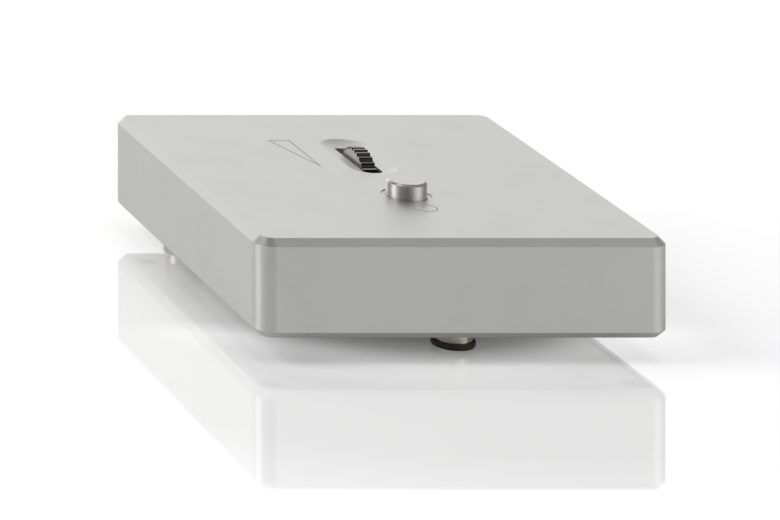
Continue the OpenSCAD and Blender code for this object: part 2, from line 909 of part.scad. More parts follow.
module input_left_shell() jack_shell(input_left_x);
module input_right_shell() jack_shell(input_right_x);
module output_left_shell() jack_shell(output_left_x);
module output_right_shell() jack_shell(output_right_x);

// Four plated sleeves that take the plugs' centre pins
module jack_centre_contacts() {
  color("gold")
    for (x = [input_left_x, input_right_x, output_left_x, output_right_x])
      translate([x, 0, jack_z])
        tube_y(contact_outer, contact_bore, shell_start,
          jack_tip - core_setback - contact_setback);
}

// Moulded power inlet on the board, behind its hole in the panel
module power_inlet_body() {
  color("dimgray")
    difference() {
      block(inlet_x, inlet_width, panel_in - inlet_depth, panel_in, board_top, inlet_top);
      translate([inlet_x, 0, inlet_z])
        rod_y(inlet_radius, panel_in - inlet_bore_depth, panel_in + 1);
    }
}

// Centre pin of the power inlet
module power_inlet_pin() {
  color("silver")
    translate([inlet_x, 0, inlet_z])
      rod_y(inlet_pin_radius, panel_in - inlet_bore_depth, panel_in - inlet_pin_setback);
}

// Threaded post through the rear panel, with a shoulder outside
module ground_post() {
  color("gold")
    translate([ground_x, 0, jack_z]) {
      rod_y(ground_radius, panel_in - ground_inner_nut - ground_inner_end, ground_tip);
      translate([0, panel_out, 0])
        rotate([-90, 30, 0])
          cylinder(r = ground_flange_radius, h = ground_flange, $fn = 6);
    }
}

// Hexagonal nut that clamps the post from inside
module ground_post_nut() {
  color("gold")
    translate([ground_x, panel_in - ground_inner_nut, jack_z])
      rotate([-90, 0, 0])
        difference() {
          cylinder(r = ground_inner_nut_radius, h = ground_inner_nut, $fn = 6);
          translate([0, 0, -1])
            cylinder(r = ground_radius + ground_gap, h = ground_inner_nut + 2, $fn = 48);
        }
}

// Loose washer that presses on the ground wire
module ground_washer() {
  color("silver")
    translate([ground_x, 0, jack_z])
      tube_y(ground_washer_radius, ground_radius + washer_gap, washer_start, thumb_nut_start);
}

// Knurled nut, turned by hand
module ground_thumb_nut() {
  color("gold")
    translate([ground_x, thumb_nut_start, jack_z])
      rotate([-90, 0, 0])
        difference() {
          cylinder(r = ground_nut_radius, h = ground_nut_length, $fn = 72);
          translate([0, 0, -1])
            cylinder(r = ground_radius + ground_gap, h = ground_nut_length + 2, $fn = 48);
          for (i = [0 : 23])
            rotate([0, 0, i * 15])
              translate([ground_nut_radius + knurl_out, 0, knurl_start])
                cylinder(r = knurl_radius, h = ground_nut_length, $fn = 16);
        }
}

// Slide switch under the board, with a track for its slider
module gain_switch_body() {
  color("dimgray")
    difference() {
      block(gain_x, gain_body_length, gain_place_y - gain_body_width / 2,
        gain_place_y + gain_body_width / 2, gain_track_z, board_under);
      block(gain_x, gain_carriage + gain_travel + 2 * gain_side_gap,
        gain_place_y - gain_carriage_width / 2 - gain_side_gap,
        gain_place_y + gain_carriage_width / 2 + gain_side_gap,
        gain_track_z + gain_floor, gain_carriage_z + gain_carriage_thickness + gain_lift);
      block(gain_x, gain_knob + gain_travel + 2 * gain_side_gap,
        gain_place_y - gain_knob_width / 2 - gain_side_gap,
        gain_place_y + gain_knob_width / 2 + gain_side_gap,
        gain_track_z - 1, gain_carriage_z);
    }
}

// Slider of the gain switch, reached through the slot in the base plate
module gain_slider() {
  color("white")
    union() {
      block(gain_rest_x, gain_carriage, gain_place_y - gain_carriage_width / 2,
        gain_place_y + gain_carriage_width / 2,
        gain_carriage_z, gain_carriage_z + gain_carriage_thickness);
      block(gain_rest_x, gain_knob, gain_place_y - gain_knob_width / 2,
        gain_place_y + gain_knob_width / 2, gain_tip, gain_carriage_z + eps);
    }
}

// Eight-lead amplifier chips, one column for each channel
module amplifier_chips() {
  color("black")
    for (side = [-1, 1], y = chip_rows)
      on_board(side * chip_x, y, chip_width, chip_length, chip_height);
}

// Upright cans: supply reservoirs at the left, couplers beside the middle
module electrolytic_capacitors() {
  color("navy")
    union() {
      for (x = reservoir_columns)
        translate([x, front_y + reservoir_y, board_top])
          cylinder(r = reservoir_radius, h = reservoir_height, $fn = 48);
      for (side = [-1, 1], y = coupler_rows)
        translate([side * coupler_x, front_y + y, board_top])
          cylinder(r = coupler_radius, h = coupler_height, $fn = 48);
    }
}

// Box film capacitors of the two equaliser networks
module film_capacitors() {
  color("firebrick")
    for (side = [-1, 1], x = film_columns, y = film_rows)
      on_board(side * x, y, film_width, film_length, film_height);
}

// Small resistors, lying on the board
module resistors() {
  color("tan")
    for (side = [-1, 1], x = resistor_columns, y = resistor_rows)
      translate([side * x, front_y + y - resistor_length / 2, board_top + resistor_radius])
        rod_y(resistor_radius, 0, resistor_length);
}

// Relay that mutes the outputs at switch-on
module mute_relay() {
  color("orange")
    on_board(relay_x, relay_y, relay_width, relay_length, relay_height);
}

// Voltage regulator with its metal tab on the board
module voltage_regulator() {
  color("black")
    union() {
      on_board(regulator_x, regulator_y, regulator_width, regulator_length, regulator_height);
      on_board(regulator_x, regulator_y + (regulator_length + tab_length) / 2 - eps,
        tab_width, tab_length, tab_height);
    }
}

case_housing();
base_plate();
rear_panel();
base_screws();
rear_panel_screws();
front_foot_collar();
rear_left_foot_collar();
rear_right_foot_collar();
front_foot_pad();
rear_left_foot_pad();
rear_right_foot_pad();
foot_screws();
circuit_board();
board_spacers();
board_screws();
power_button();
button_plunger();
button_spring();
power_switch_body();
volume_wheel();
volume_spindle();
volume_bushing();
volume_potentiometer();
input_jack_block();
output_jack_block();
input_left_insulator();
input_right_insulator();
output_left_insulator();
output_right_insulator();
input_left_shell();
input_right_shell();
output_left_shell();
output_right_shell();
jack_centre_contacts();
power_inlet_body();
power_inlet_pin();
ground_post();
ground_post_nut();
ground_washer();
ground_thumb_nut();
gain_switch_body();
gain_slider();
amplifier_chips();
electrolytic_capacitors();
film_capacitors();
resistors();
mute_relay();
voltage_regulator();
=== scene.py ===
import math

import bmesh
import bpy
import numpy as np
from mathutils import Matrix, Vector


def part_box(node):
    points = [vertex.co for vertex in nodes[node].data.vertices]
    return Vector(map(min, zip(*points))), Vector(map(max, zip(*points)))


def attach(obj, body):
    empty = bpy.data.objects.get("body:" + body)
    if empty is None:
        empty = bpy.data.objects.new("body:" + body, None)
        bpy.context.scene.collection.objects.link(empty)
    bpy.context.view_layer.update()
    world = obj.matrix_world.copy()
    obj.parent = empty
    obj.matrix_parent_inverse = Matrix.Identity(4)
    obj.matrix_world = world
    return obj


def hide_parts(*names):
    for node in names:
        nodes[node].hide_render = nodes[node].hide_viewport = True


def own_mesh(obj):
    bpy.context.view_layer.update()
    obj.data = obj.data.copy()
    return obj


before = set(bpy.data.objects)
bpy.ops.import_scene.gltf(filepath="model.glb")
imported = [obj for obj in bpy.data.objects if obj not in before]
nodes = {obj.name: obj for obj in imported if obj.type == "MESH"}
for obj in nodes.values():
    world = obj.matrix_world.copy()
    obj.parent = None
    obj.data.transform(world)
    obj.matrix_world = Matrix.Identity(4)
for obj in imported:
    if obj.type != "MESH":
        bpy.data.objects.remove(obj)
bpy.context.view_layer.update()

MM = 0.001


# ---------------------------------------------------------------------------
# Camera. A view camera stands in front of the left corner and above, with its
# film parallel to the front face, so that upright and crosswise edges stay so.
# The tilt of its lens against its film is a skewed parent, not a lens shift.
camera_centre = np.array([-0.34201, -0.91545, 0.28863])  # in metres
to_middle = np.array([1693.0, 4480.0, -1386.0])  # in image pixels, to the middle of 780 x 520
image_width = 780.0
sensor_width = 36.0  # in millimetres

reach = np.linalg.norm(to_middle)
film = np.array([[1.0, 0.0, 0.0], [0.0, 0.0, 1.0], -to_middle / reach]).T
turn, stretch, lens_turn = np.linalg.svd(film)
if np.linalg.det(turn) < 0:
    turn[:, 2] *= -1
    lens_turn[2] *= -1
stand = bpy.data.objects.new("camera_stand", None)
bpy.context.scene.collection.objects.link(stand)
stand.matrix_world = (
    Matrix.Translation(Vector(camera_centre))
    @ Matrix(turn.tolist()).to_4x4()
    @ Matrix.Diagonal((*stretch.tolist(), 1.0))
)
lens = bpy.data.cameras.new("studio_camera")
lens.sensor_width = sensor_width
lens.lens = reach / image_width * sensor_width
lens.clip_start = 0.05
lens.clip_end = 20.0
camera = bpy.data.objects.new("studio_camera", lens)
bpy.context.scene.collection.objects.link(camera)
camera.parent = stand
camera.matrix_parent_inverse = Matrix.Identity(4)
camera.matrix_basis = Matrix(lens_turn.tolist()).to_4x4()
bpy.context.scene.camera = camera


# ---------------------------------------------------------------------------
# Case housing: one aluminium block, milled, bead blasted and clear anodised.
# Its chamfers are cut with the block, so they carry the same blasted skin.
def colour(code):
    """An sRGB hex value as linear red, green, blue and alpha."""
    parts = [int(code[i:i + 2], 16) / 255.0 for i in (1, 3, 5)]
    return [*(p / 12.92 if p <= 0.04045 else ((p + 0.055) / 1.055) ** 2.4 for p in parts), 1.0]


def add(tree, kind, inputs=None, **settings):
    """Adds a node: settings are its own properties, inputs are values or the sockets that feed it."""
    made = tree.nodes.new(kind)
    for key, value in settings.items():
        setattr(made, key, value)
    for key, value in (inputs or {}).items():
        if isinstance(value, bpy.types.NodeSocket):
            tree.links.new(value, made.inputs[key])
        else:
            made.inputs[key].default_value = value
    return made


def new_material(name):
    """An empty node material, its tree, and the point of the surface in the object's own metres."""
    made = bpy.data.materials.new(name)
    made.use_nodes = True
    tree = made.node_tree
    tree.nodes.clear()
    place = add(tree, "ShaderNodeTexCoord").outputs["Object"]
    return made, tree, place


def finish_surface(tree, shader):
    add(tree, "ShaderNodeOutputMaterial", {"Surface": shader.outputs[0]})


def two_tones(tree, factor, low, high, start=0.0, end=1.0):
    """A ramp between two colours, from one level of a pattern to another."""
    ramp = add(tree, "ShaderNodeValToRGB", {"Fac": factor})
    ramp.color_ramp.elements[0].position = start
    ramp.color_ramp.elements[1].position = end
    ramp.color_ramp.elements[0].color = low
    ramp.color_ramp.elements[1].color = high
    return ramp.outputs["Color"]


def dress(material, *names):
    """Gives CAD nodes their material."""
    for name in names:
        for slot in nodes[name].material_slots:
            slot.material = material


# Bead-blasted anodised aluminium: a quiet satin grey that spreads every reflection wide.
# The blast leaves dimples about 0.2 mm across, and the dye-free coat varies a little in depth.
blasted, tree, place = new_material("bead_blasted_anodised_aluminium")
cloud = add(tree, "ShaderNodeTexNoise", {"Vector": place, "Scale": 90.0, "Detail": 3.0})
grain = add(tree, "ShaderNodeTexNoise", {"Vector": place, "Scale": 4200.0, "Detail": 2.0, "Roughness": 0.6})
tone = add(tree, "ShaderNodeMath", {0: cloud.outputs["Fac"], 1: grain.outputs["Fac"]}, operation="ADD")
tint = two_tones(tree, tone.outputs[0], colour("#CACAC8"), colour("#CECECC"), 0.75, 1.25)
gloss = add(tree, "ShaderNodeMapRange", {
    "Value": grain.outputs["Fac"], "From Min": 0.25, "From Max": 0.75, "To Min": 0.40, "To Max": 0.47})
dimples = add(tree, "ShaderNodeBump", {
    "Height": grain.outputs["Fac"], "Strength": 0.35, "Distance": 0.02 * MM})
metal = add(tree, "ShaderNodeBsdfPrincipled", {
    "Base Color": tint, "Roughness": gloss.outputs[0], "Normal": dimples.outputs[0], "Metallic": 1.0})
finish_surface(tree, metal)
dress(blasted, "case_housing")


# ---------------------------------------------------------------------------
# Marks on the top: a narrow wedge beside the wheel for volume, and the usual
# power sign in front of the button. Fine grey lines, screened on the anodising.
mark_line = 0.3 * MM
mark_height = 0.02 * MM
case_low, case_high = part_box("case_housing")
top_z = case_high.z
# In millimetres from the case's front left corner.
wedge_corners = ((25.9, 68.1), (30.1, 68.1), (30.0, 49.85))
sign_x, sign_y = 40.2, 20.9
sign_radius = 2.35 * MM
sign_gap = 30  # degrees left open on each side of the tick
tick_start, tick_end = 0.9 * MM, 3.0 * MM


def ribbon(name, points, width, z, height, closed=False):
    """A flat raised line of one width along points in X and Y, with mitred corners."""
    count = len(points)
    rows = []
    for i, point in enumerate(points):
        here = Vector(point)
        before = Vector(points[i - 1]) if closed or i > 0 else None
        after = Vector(points[(i + 1) % count]) if closed or i < count - 1 else None
        into = (here - before).normalized() if before is not None else (after - here).normalized()
        out = (after - here).normalized() if after is not None else into
        side_in, side_out = Vector((-into.y, into.x)), Vector((-out.y, out.x))
        mitre = (side_in + side_out).normalized()
        size = width / 2 / max(0.15, mitre.dot(side_in))
        rows.append((here + mitre * size, here - mitre * size))
    mesh = bmesh.new()
    rings = []
    for a, b in rows:
        rings.append([
            mesh.verts.new((a.x, a.y, z)), mesh.verts.new((b.x, b.y, z)),
            mesh.verts.new((b.x, b.y, z + height)), mesh.verts.new((a.x, a.y, z + height))])
    for i in range(count if closed else count - 1):
        one, two = rings[i], rings[(i + 1) % count]
        for k in range(4):
            mesh.faces.new((one[k], one[(k + 1) % 4], two[(k + 1) % 4], two[k]))
    if not closed:
        mesh.faces.new(rings[0])
        mesh.faces.new(list(reversed(rings[-1])))
    bmesh.ops.recalc_face_normals(mesh, faces=mesh.faces)
    data = bpy.data.meshes.new(name)
    mesh.to_mesh(data)
    mesh.free()
    made = bpy.data.objects.new(name, data)
    bpy.context.scene.collection.objects.link(made)
    return made


# Screen ink, mid grey: matt, thin, and a little broken up by the dimples under it.
ink, tree, place = new_material("grey_screen_ink")
speck = add(tree, "ShaderNodeTexNoise", {"Vector": place, "Scale": 5200.0, "Detail": 1.0})
shade = two_tones(tree, speck.outputs["Fac"], colour("#737270"), colour("#8C8B89"), 0.35, 0.7)
coat = add(tree, "ShaderNodeBsdfPrincipled", {"Base Color": shade, "Roughness": 0.6, "Metallic": 0.0})
finish_surface(tree, coat)

wedge = [(case_low.x + x * MM, case_low.y + y * MM) for x, y in wedge_corners]
volume_wedge = ribbon("volume_wedge", wedge, mark_line, top_z, mark_height, closed=True)
power_x, power_y = case_low.x + sign_x * MM, case_low.y + sign_y * MM
power_arc = [
    (power_x + sign_radius * math.sin(a), power_y + sign_radius * math.cos(a))
    for a in np.linspace(math.radians(sign_gap), math.radians(360 - sign_gap), 49)]
power_ring = ribbon("power_sign_ring", power_arc, mark_line, top_z, mark_height)
tick = [(power_x, power_y + tick_start), (power_x, power_y + tick_end)]
power_tick = ribbon("power_sign_tick", tick, mark_line, top_z, mark_height)
for mark in (volume_wedge, power_ring, power_tick):
    mark.data.materials.append(ink)
    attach(mark, "case")


# ---------------------------------------------------------------------------
# Base plate and rear panel: blasted and anodised sheet, screwed to the posts
# in the corners of the case from below and from behind with blackened screws.
# Blasted sheet: a shade darker than the block, satin, its dimples about 0.3 mm across.
sheet, tree, place = new_material("blasted_aluminium_sheet")
grain = add(tree, "ShaderNodeTexNoise", {"Vector": place, "Scale": 3600.0, "Detail": 2.0})
tint = two_tones(tree, grain.outputs["Fac"], colour("#B7B6B4"), colour("#C3C2C0"), 0.3, 0.7)
dimples = add(tree, "ShaderNodeBump", {
    "Height": grain.outputs["Fac"], "Strength": 0.3, "Distance": 0.02 * MM})
metal = add(tree, "ShaderNodeBsdfPrincipled", {
    "Base Color": tint, "Roughness": 0.42, "Normal": dimples.outputs[0], "Metallic": 1.0})
finish_surface(tree, metal)
dress(sheet, "base_plate", "rear_panel")


def bare_metal(name, low, high, scale, roughness, detail=2.0, start=0.3):
    """A metal in two close tones, from a noise whose spots are about 1 / scale metres across."""
    made, tree, place = new_material(name)
    spots = add(tree, "ShaderNodeTexNoise", {"Vector": place, "Scale": scale, "Detail": detail})
    tint = two_tones(tree, spots.outputs["Fac"], colour(low), colour(high), start, 0.7)
    metal = add(tree, "ShaderNodeBsdfPrincipled", {
        "Base Color": tint, "Roughness": roughness, "Metallic": 1.0})
    finish_surface(tree, metal)
    return made


# Blackened steel screws: dark and faintly shiny, with the oxide worn thin in spots of 0.7 mm.
blackened = bare_metal("blackened_steel", "#3E3F41", "#5C5D5F", 1500.0, 0.33, detail=3.0, start=0.35)
dress(blackened, "base_screws", "rear_panel_screws", "foot_screws")


# ---------------------------------------------------------------------------
# Feet: a turned, nickel-plated collar held by a cap screw, with a rubber ring
# pressed into it that the case stands on. One foot in front, two behind.
def plated_turning(name, low, high, axis, roughness):
    """
    Bright plate over turned brass. Its tool rings lie 0.15 mm apart along the axis, drawn twice as
    wide so that they show; a wave of scale s repeats every 0.314 / s metres.
    """
    made, tree, place = new_material(name)
    rings = add(tree, "ShaderNodeTexWave", {
        "Vector": place, "Scale": 1050.0, "Distortion": 0.4}, bands_direction=axis)
    tint = two_tones(tree, rings.outputs["Fac"], colour(low), colour(high))
    turned = add(tree, "ShaderNodeBump", {
        "Height": rings.outputs["Fac"], "Strength": 0.15, "Distance": 0.01 * MM})
    metal = add(tree, "ShaderNodeBsdfPrincipled", {
        "Base Color": tint, "Roughness": roughness, "Normal": turned.outputs[0], "Metallic": 1.0})
    finish_surface(tree, metal)
    return made


# Nickel plate: mirror bright, a little warm.
nickel = plated_turning("nickel_plated_brass", "#B9B3A2", "#D2CDBF", "Z", 0.1)
dress(nickel, "front_foot_collar", "rear_left_foot_collar", "rear_right_foot_collar")

# Olive-black rubber, moulded: matt, with a tooth of 0.3 mm that keeps it from shining.
rubber, tree, place = new_material("moulded_olive_black_rubber")
tooth = add(tree, "ShaderNodeTexNoise", {"Vector": place, "Scale": 3000.0, "Detail": 2.0})
tint = two_tones(tree, tooth.outputs["Fac"], colour("#2A2719"), colour("#3A3523"), 0.3, 0.7)
bite = add(tree, "ShaderNodeBump", {"Height": tooth.outputs["Fac"], "Strength": 0.3, "Distance": 0.03 * MM})
skin = add(tree, "ShaderNodeBsdfPrincipled", {
    "Base Color": tint, "Roughness": 0.55, "Normal": bite.outputs[0], "IOR": 1.52})
finish_surface(tree, skin)
dress(rubber, "front_foot_pad", "rear_left_foot_pad", "rear_right_foot_pad")


# ---------------------------------------------------------------------------
# Power button: turned from aluminium bar and left as turned, so its side and
# top show fine rings. A nylon stem and a coil spring join it to the switch.
button_low, button_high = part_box("power_button")
button_x = (button_low.x + button_high.x) / 2
button_y = (button_low.y + button_high.y) / 2
# Turned aluminium: rings 0.12 mm apart, drawn twice as wide as cut so that they show. The
# fine rings smear each reflection across themselves: upright streaks on the side.
turned_bar, tree, place = new_material("turned_aluminium")
centred = add(tree, "ShaderNodeMapping", {"Vector": place, "Location": (-button_x, -button_y, 0.0)})
rings = add(tree, "ShaderNodeTexWave", {
    "Vector": centred.outputs[0], "Scale": 1310.0, "Distortion": 0.5, "Detail": 2.0},
    wave_type="RINGS", rings_direction="Z")
lines = add(tree, "ShaderNodeTexWave", {
    "Vector": centred.outputs[0], "Scale": 1310.0, "Distortion": 0.3, "Detail": 2.0},
    wave_type="BANDS", bands_direction="Z")
split = add(tree, "ShaderNodeSeparateXYZ", {"Vector": add(tree, "ShaderNodeNewGeometry").outputs["Normal"]})
cut = add(tree, "ShaderNodeMix", {
    "A": lines.outputs["Fac"], "B": rings.outputs["Fac"], "Factor": split.outputs["Z"]}, data_type="FLOAT")
side_tint = two_tones(tree, cut.outputs[0], colour("#DFDEDD"), colour("#E8E7E6"))
# The side and top are lighter and darker copies of one colour: the top's darker copy is a painted shade.
painted_shade_top_tint = two_tones(tree, cut.outputs[0], colour("#B9B8B7"), colour("#BFBEBD"))
tint = add(tree, "ShaderNodeMix", {
    "A": side_tint, "B": painted_shade_top_tint, "Factor": split.outputs["Z"]}, data_type="RGBA")
turned = add(tree, "ShaderNodeBump", {"Height": cut.outputs[0], "Strength": 0.1, "Distance": 0.01 * MM})
across = add(tree, "ShaderNodeMix", {
    "A": (0.0, 0.0, 1.0), "B": (1.0, 0.0, 0.0), "Factor": split.outputs["Z"]}, data_type="VECTOR")
metal = add(tree, "ShaderNodeBsdfPrincipled", {
    "Base Color": tint.outputs["Result"], "Roughness": 0.36, "Normal": turned.outputs[0], "Metallic": 1.0,
    "Anisotropic": 1.0, "Tangent": across.outputs["Result"]})
finish_surface(tree, metal)
dress(turned_bar, "power_button")


def moulded(name, low, high, scale, roughness, ior=1.5):
    """A plastic in two close tones, from flow marks about 1 / scale metres across."""
    made, tree, place = new_material(name)
    flow = add(tree, "ShaderNodeTexNoise", {"Vector": place, "Scale": scale, "Detail": 2.0})
    tint = two_tones(tree, flow.outputs["Fac"], colour(low), colour(high), 0.3, 0.7)
    skin = add(tree, "ShaderNodeBsdfPrincipled", {"Base Color": tint, "Roughness": roughness, "IOR": ior})
    finish_surface(tree, skin)
    return made


# Nylon, moulded: milk white, with a dull shine.
white_nylon = moulded("moulded_white_nylon", "#DAD9D4", "#E6E5E0", 900.0, 0.38, ior=1.53)
dress(white_nylon, "button_plunger", "gain_slider")

# Spring steel wire, drawn: grey and bright, with faint spots of 0.4 mm.
wire = bare_metal("drawn_spring_steel", "#9B9A97", "#B4B3AF", 2500.0, 0.25)


def grow(name, source, tree, sizes):
    """Runs a node tree on a source mesh, its inputs set by name, and keeps the result as a plain mesh."""
    holder = bpy.data.objects.new(name, source)
    bpy.context.scene.collection.objects.link(holder)
    modifier = holder.modifiers.new(name, "NODES")
    modifier.node_group = tree
    for socket in tree.interface.items_tree:
        if socket.in_out == "INPUT" and socket.name in sizes:
            modifier[socket.identifier] = sizes[socket.name]
    evaluated = holder.evaluated_get(bpy.context.evaluated_depsgraph_get())
    mesh = bpy.data.meshes.new_from_object(evaluated)
    bpy.data.objects.remove(holder)
    made = bpy.data.objects.new(name, mesh)
    bpy.context.scene.collection.objects.link(made)
    return made


def node_tree(name, sizes):
    """An empty geometry tree with one mesh in, one out, and named inputs in metres or whole numbers."""
    tree = bpy.data.node_groups.new(name, "GeometryNodeTree")
    tree.interface.new_socket("Geometry", in_out="INPUT", socket_type="NodeSocketGeometry")
    tree.interface.new_socket("Geometry", in_out="OUTPUT", socket_type="NodeSocketGeometry")
    for key, kind in sizes.items():
        tree.interface.new_socket(key, in_out="INPUT", socket_type=kind)
    return tree, tree.nodes.new("NodeGroupInput").outputs


def finish_tree(tree, geometry, material):
    """Ends a tree: instances made real, given their material, and sent out."""
    real = add(tree, "GeometryNodeRealizeInstances", {"Geometry": geometry})
    dressed = add(tree, "GeometryNodeSetMaterial", {"Geometry": real.outputs[0], "Material": material})
    add(tree, "NodeGroupOutput", {"Geometry": dressed.outputs[0]})


# The spring is a round wire swept along a helix, between the switch and the button's lip.
spring_low, spring_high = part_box("button_spring")
spring_height = spring_high.z - spring_low.z
wire_radius = 0.22 * MM
spring_turns = 4.5
spring_tree, sizes_in = node_tree("coil_spring_tree", {
    "Wire radius": "NodeSocketFloat", "Coil radius": "NodeSocketFloat",
    "Coil height": "NodeSocketFloat", "Turns": "NodeSocketFloat"})
helix = add(spring_tree, "GeometryNodeCurveSpiral", {
    "Resolution": 28, "Rotations": sizes_in["Turns"], "Start Radius": sizes_in["Coil radius"],
    "End Radius": sizes_in["Coil radius"], "Height": sizes_in["Coil height"]})
round_wire = add(spring_tree, "GeometryNodeCurvePrimitiveCircle", {
    "Radius": sizes_in["Wire radius"], "Resolution": 12})
coil = add(spring_tree, "GeometryNodeCurveToMesh", {
    "Curve": helix.outputs[0], "Profile Curve": round_wire.outputs[0], "Fill Caps": True})
wound = add(spring_tree, "GeometryNodeInstanceOnPoints", {
    "Points": sizes_in["Geometry"], "Instance": coil.outputs[0]})
finish_tree(spring_tree, wound.outputs[0], wire)
spring_foot = bpy.data.meshes.new("spring_foot")
spring_foot.from_pydata([(button_x, button_y, spring_low.z + wire_radius)], [], [])
wound_spring = grow("button_coil_spring", spring_foot, spring_tree, {
    "Wire radius": wire_radius, "Coil radius": (spring_high.x - spring_low.x) / 2 - wire_radius,
    "Coil height": spring_height - 2 * wire_radius, "Turns": spring_turns})
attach(wound_spring, "case")
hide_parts("button_spring")
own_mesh(wound_spring)


# ---------------------------------------------------------------------------
# Volume wheel: turned aluminium, ribs cut across its rim and dyed dark, pressed
# on the flat of a steel spindle that runs in the potentiometer's bushing.
wheel_low, wheel_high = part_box("volume_wheel")
wheel_y, wheel_z = (wheel_low.y + wheel_high.y) / 2, (wheel_low.z + wheel_high.z) / 2
wheel_radius = (wheel_high.z - wheel_low.z) / 2
crest_depth = 0.03 * MM
# Dyed and anodised dark, then faced on the lathe: the valleys between the ribs stay nearly
# black, the rib crests are painted pale, a painted highlight along each rib as well as the rubbing of use,
# and both faces are cut back to metal.
wheel_metal, tree, place = new_material("faced_dark_anodised_aluminium")
centred = add(tree, "ShaderNodeMapping", {"Vector": place, "Location": (0.0, -wheel_y, -wheel_z)})
flat = add(tree, "ShaderNodeVectorMath", {0: centred.outputs[0], 1: (0.0, 1.0, 1.0)}, operation="MULTIPLY")
radius = add(tree, "ShaderNodeVectorMath", {0: flat.outputs[0]}, operation="LENGTH")
crest = add(tree, "ShaderNodeMapRange", {
    "Value": radius.outputs["Value"], "From Min": wheel_radius - 2 * crest_depth,
    "From Max": wheel_radius - crest_depth})
facing = add(tree, "ShaderNodeSeparateXYZ", {"Vector": add(tree, "ShaderNodeNewGeometry").outputs["Normal"]})
sideways = add(tree, "ShaderNodeMath", {0: facing.outputs["X"]}, operation="ABSOLUTE")
face = add(tree, "ShaderNodeMapRange", {"Value": sideways.outputs[0], "From Min": 0.6, "From Max": 0.8})
grain = add(tree, "ShaderNodeTexNoise", {"Vector": place, "Scale": 2600.0, "Detail": 2.0})
cleared = two_tones(tree, grain.outputs["Fac"], colour("#B4B2AE"), colour("#C2C0BC"), 0.3, 0.7)
dyed = two_tones(tree, grain.outputs["Fac"], colour("#343332"), colour("#454442"), 0.3, 0.7)
# Pale crests: a painted highlight along each rib, as well as rubbing.
crest_highlight_and_rubbing = add(tree, "ShaderNodeMix", {
    "Factor": crest.outputs[0], "A": dyed, "B": colour("#A9A7A4")}, data_type="RGBA")
tint = add(tree, "ShaderNodeMix", {
    "Factor": face.outputs[0], "A": crest_highlight_and_rubbing.outputs["Result"], "B": cleared}, data_type="RGBA")
plating = add(tree, "ShaderNodeMapRange", {"Value": face.outputs[0], "To Min": 1.0, "To Max": 0.8})
metal = add(tree, "ShaderNodeBsdfPrincipled", {
    "Base Color": tint.outputs["Result"], "Roughness": 0.3, "Metallic": plating.outputs[0]})
finish_surface(tree, metal)
dress(wheel_metal, "volume_wheel")

# Steel, ground: plain grey and bright.
ground_steel = bare_metal("ground_steel", "#A5A4A1", "#BBBAB6", 3000.0, 0.2)
dress(ground_steel, "volume_spindle", "volume_bushing")

# Nylon, moulded: the potentiometer's usual blue, with a dull shine.
blue_nylon = moulded("moulded_blue_nylon", "#2B4F78", "#34608F", 700.0, 0.35, ior=1.53)
dress(blue_nylon, "volume_potentiometer")


# ---------------------------------------------------------------------------
# Sockets: moulded blocks on the board, white and red insulators that come out
# through the panel, and gold-plated shells and centre sleeves turned from brass.
# Black plastic, moulded in a spark-eroded tool: nearly matt, with a grain of 0.5 mm.
black_plastic = moulded("moulded_black_plastic", "#1B1B1C", "#262627", 2200.0, 0.42)
dress(black_plastic, "input_jack_block", "output_jack_block", "power_inlet_body", "gain_switch_body",
      "power_switch_body")

# Red and white insulators: smooth plastic, the red one deep and softly shiny.
red_plastic = moulded("moulded_red_plastic", "#A81F18", "#B8271F", 900.0, 0.3)
dress(red_plastic, "input_right_insulator", "output_right_insulator")
dress(white_nylon, "input_left_insulator", "output_left_insulator")

# Gold plate: warm and bright, its rings round the axis of each socket.
gold = plated_turning("gold_plated_brass", "#D9B26A", "#E6C27C", "Y", 0.18)
dress(gold, "input_left_shell", "input_right_shell", "output_left_shell", "output_right_shell",
      "jack_centre_contacts", "ground_post_nut", "ground_thumb_nut")
dress(nickel, "ground_washer", "power_inlet_pin")

# The same plate over a rolled thread of 0.7 mm pitch: a bump in even turns, with a painted shade darkening
# the colour in the root of each turn.
threaded_gold, tree, place = new_material("gold_plated_thread")
turns = add(tree, "ShaderNodeTexWave", {"Vector": place, "Scale": 449.0}, bands_direction="Y")
tint = two_tones(tree, turns.outputs["Fac"], colour("#B9924C"), colour("#E6C27C"))
rolled = add(tree, "ShaderNodeBump", {"Height": turns.outputs["Fac"], "Strength": 1.0, "Distance": 0.15 * MM})
metal = add(tree, "ShaderNodeBsdfPrincipled", {
    "Base Color": tint, "Roughness": 0.2, "Normal": rolled.outputs[0], "Metallic": 1.0})
finish_surface(tree, metal)
dress(threaded_gold, "ground_post")


# ---------------------------------------------------------------------------
# Circuit board: glass fibre under green solder mask. It lies on brass spacers
# on the base plate and is held by zinc-plated screws.
# Solder mask over copper: glossy green, with the tracks showing paler, about 5 mm long.
green_board, tree, place = new_material("solder_masked_glass_fibre")
tracks = add(tree, "ShaderNodeTexBrick", {
    "Vector": place, "Color1": colour("#0E4A2A"), "Color2": colour("#0C4226"), "Mortar": colour("#1B6B40"),
    "Scale": 190.0, "Mortar Size": 0.03, "Brick Width": 0.9, "Row Height": 0.35})
skin = add(tree, "ShaderNodeBsdfPrincipled", {
    "Base Color": tracks.outputs["Color"], "Roughness": 0.3, "IOR": 1.5})
finish_surface(tree, skin)
dress(green_board, "circuit_board")

# Machined brass: yellow and bright. Zinc plate on steel: pale and slightly blue.
brass = bare_metal("machined_brass", "#C39A4E", "#D2AB60", 2000.0, 0.28)
dress(brass, "board_spacers")
zinc = bare_metal("zinc_plated_steel", "#A9ABAE", "#BFC1C3", 2000.0, 0.3)
dress(zinc, "board_screws")


# ---------------------------------------------------------------------------
# Amplifier chips and voltage regulator: moulded epoxy bodies. Each chip stands on
# eight bent, tinned legs soldered to the board; the regulator lies on its tab.
# Epoxy filled with silica, moulded: black and matt.
epoxy = moulded("moulded_epoxy", "#151516", "#1F1F20", 2600.0, 0.55)
dress(epoxy, "amplifier_chips")

